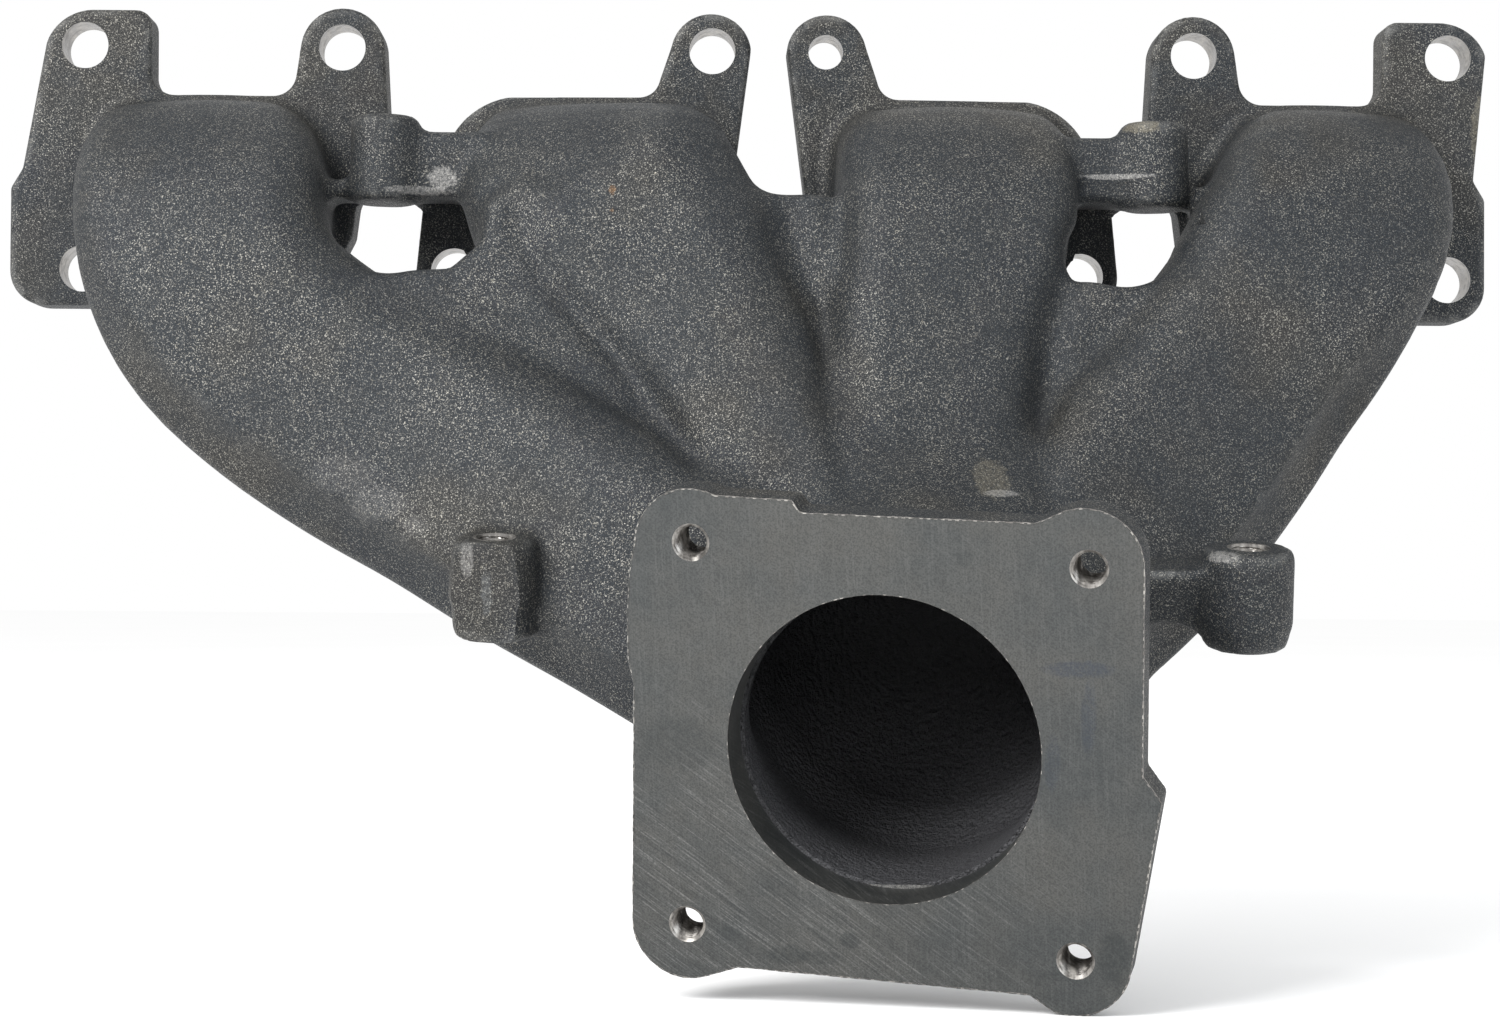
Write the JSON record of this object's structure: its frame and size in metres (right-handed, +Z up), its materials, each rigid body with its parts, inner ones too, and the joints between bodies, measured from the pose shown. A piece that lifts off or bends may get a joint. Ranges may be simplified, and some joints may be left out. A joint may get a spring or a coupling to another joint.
{
  "type": "exhaust manifold",
  "caption": "Cast iron exhaust manifold: curved runners from the port flanges merge into a collector with a square outlet flange.",
  "frame": {"origin": "centre of the rectangle of the four outermost head-stud holes, in the gasket face", "axes": "+Y out of the gasket face towards the cylinder head, +X along the row of ports, +Z up"},
  "size_m": [0.3838, 0.15, 0.2457],
  "materials": {
    "cast_iron": "shot-blasted raw casting, dark blue-grey",
    "machined_iron": "milled face with fine tool marks"
  },
  "bodies": {
    "root": {"port_flange_1": "cast_iron", "port_flange_2": "cast_iron", "port_flange_3": "cast_iron", "port_flange_4": "cast_iron", "runner_1": "cast_iron", "runner_2": "cast_iron", "runner_3": "cast_iron", "runner_4": "cast_iron", "web_1_2": "cast_iron", "web_2_3": "cast_iron", "web_3_4": "cast_iron", "bridge_left": "cast_iron", "bridge_right": "cast_iron", "upper_boss_left": "cast_iron", "upper_boss_right": "cast_iron", "collector": "cast_iron", "outlet_neck": "cast_iron", "outlet_flange": "machined_iron", "lower_boss_left": "cast_iron", "lower_boss_right": "cast_iron", "lower_boss_arm": "cast_iron"}
  },
  "joints": []
}
